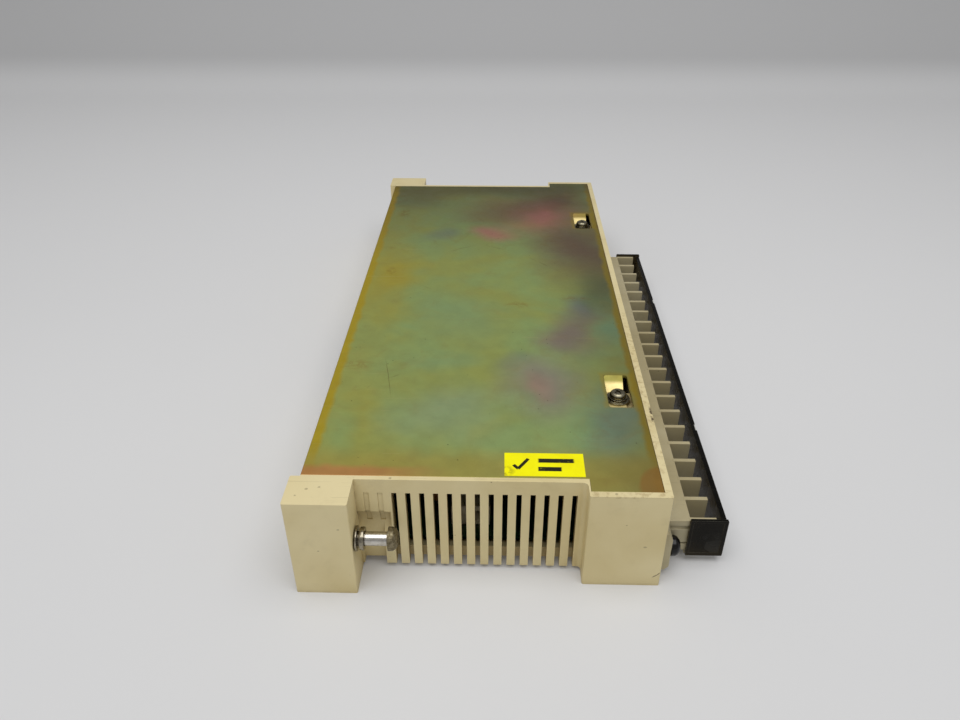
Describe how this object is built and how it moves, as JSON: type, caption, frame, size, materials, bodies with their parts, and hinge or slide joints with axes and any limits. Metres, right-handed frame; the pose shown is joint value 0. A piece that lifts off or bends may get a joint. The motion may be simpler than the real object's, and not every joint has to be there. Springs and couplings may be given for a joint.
{
  "type": "plc input/output module",
  "caption": "Slim rack-mounted control module: vented moulded case, steel side plate, captive mounting screws and a plug-off screw terminal block with hinged cover.",
  "frame": {"origin": "centre of the bounding box on the resting plane, lying on its side", "axes": "+X from backplane side to terminal side, +Y from lower end to upper end, +Z from resting side to steel cover plate"},
  "size_m": [0.1254, 0.25, 0.0346],
  "materials": {
    "cream_moulding": "moulded, lightly textured, yellowed",
    "chromated_steel": "zinc plated, yellow iridescent chromate",
    "zinc_screw": "bright zinc",
    "brass_insert": "turned",
    "sticker_yellow": "printed film",
    "board_green": "solder resist",
    "connector_black": "moulded",
    "gold_contact": "gold flashed",
    "chip_black": "moulded epoxy",
    "resistor_tan": "lacquered",
    "capacitor_orange": "dipped",
    "capacitor_sleeve": "shrink sleeve",
    "connector_cream": "moulded",
    "tinned_contact": "tin plated",
    "led_red": "clear tinted",
    "window_smoke": "smoked",
    "nickel_steel": "bright nickel",
    "spring_steel": "oiled spring steel",
    "grey_cream_moulding": "moulded",
    "black_oxide": "gloss black",
    "cover_black": "smoked, glossy",
    "label_card": "printed card"
  },
  "bodies": {
    "module": {"housing_shell": "cream_moulding", "side_cover_plate": "chromated_steel", "cover_screws": "zinc_screw", "cover_screw_washers": "zinc_screw", "cover_inserts": "brass_insert", "inspection_sticker": "sticker_yellow", "main_board": "board_green", "board_screws": "zinc_screw", "backplane_connector": "connector_black", "backplane_contacts": "gold_contact", "connector_screws": "zinc_screw", "optocouplers": "chip_black", "logic_chips": "chip_black", "input_resistors": "resistor_tan", "ceramic_capacitors": "capacitor_orange", "power_capacitors": "capacitor_sleeve", "board_edge_connector": "connector_cream", "terminal_header": "connector_cream", "header_pins": "tinned_contact", "block_screw_inserts": "brass_insert", "indicator_board": "board_green", "indicator_pins": "tinned_contact", "indicator_leds": "led_red", "indicator_mask": "connector_black", "indicator_window": "window_smoke"},
    "lower_screw_washers": {"lower_flat_washer": "nickel_steel", "lower_spring_washer": "nickel_steel"},
    "lower_screw": {"lower_mounting_screw": "nickel_steel", "lower_retaining_ring": "spring_steel"},
    "upper_screw_washers": {"upper_flat_washer": "nickel_steel", "upper_spring_washer": "nickel_steel"},
    "upper_screw": {"upper_mounting_screw": "nickel_steel", "upper_retaining_ring": "spring_steel"},
    "terminal_block": {"terminal_block_body": "grey_cream_moulding", "terminal_contacts": "tinned_contact", "terminal_clamps": "nickel_steel", "terminal_screws": "nickel_steel"},
    "lower_jack_screw": {"lower_block_screw": "black_oxide"},
    "upper_jack_screw": {"upper_block_screw": "black_oxide"},
    "cover": {"terminal_cover": "cover_black", "terminal_label": "label_card"}
  },
  "joints": [
    {"name": "lower_screw_turn", "type": "hinge", "parent": "module", "child": "lower_screw_washers", "pos_m": [-0.0354, -0.1204, 0.0176], "axis": [-1, 0, 0], "continuous": true},
    {"name": "lower_screw_travel", "type": "slide", "parent": "lower_screw_washers", "child": "lower_screw", "axis": [-1, 0, 0], "range_m": [0, 0.0064]},
    {"name": "upper_screw_turn", "type": "hinge", "parent": "module", "child": "upper_screw_washers", "pos_m": [-0.0354, 0.1204, 0.0176], "axis": [-1, 0, 0], "continuous": true},
    {"name": "upper_screw_travel", "type": "slide", "parent": "upper_screw_washers", "child": "upper_screw", "axis": [-1, 0, 0], "range_m": [0, 0.0064]},
    {"name": "terminal_block_pull", "type": "slide", "parent": "module", "child": "terminal_block", "axis": [1, 0, 0], "range_m": [0, 0.012]},
    {"name": "lower_block_screw_turn", "type": "hinge", "parent": "terminal_block", "child": "lower_jack_screw", "pos_m": [0.0458, -0.1133, 0.0096], "axis": [1, 0, 0], "continuous": true},
    {"name": "upper_block_screw_turn", "type": "hinge", "parent": "terminal_block", "child": "upper_jack_screw", "pos_m": [0.0458, 0.0723, 0.0096], "axis": [1, 0, 0], "continuous": true},
    {"name": "terminal_cover_hinge", "type": "hinge", "parent": "terminal_block", "child": "cover", "pos_m": [0.0589, -0.0205, 0.005], "axis": [0, 1, 0], "range_deg": [0, 90]}
  ]
}
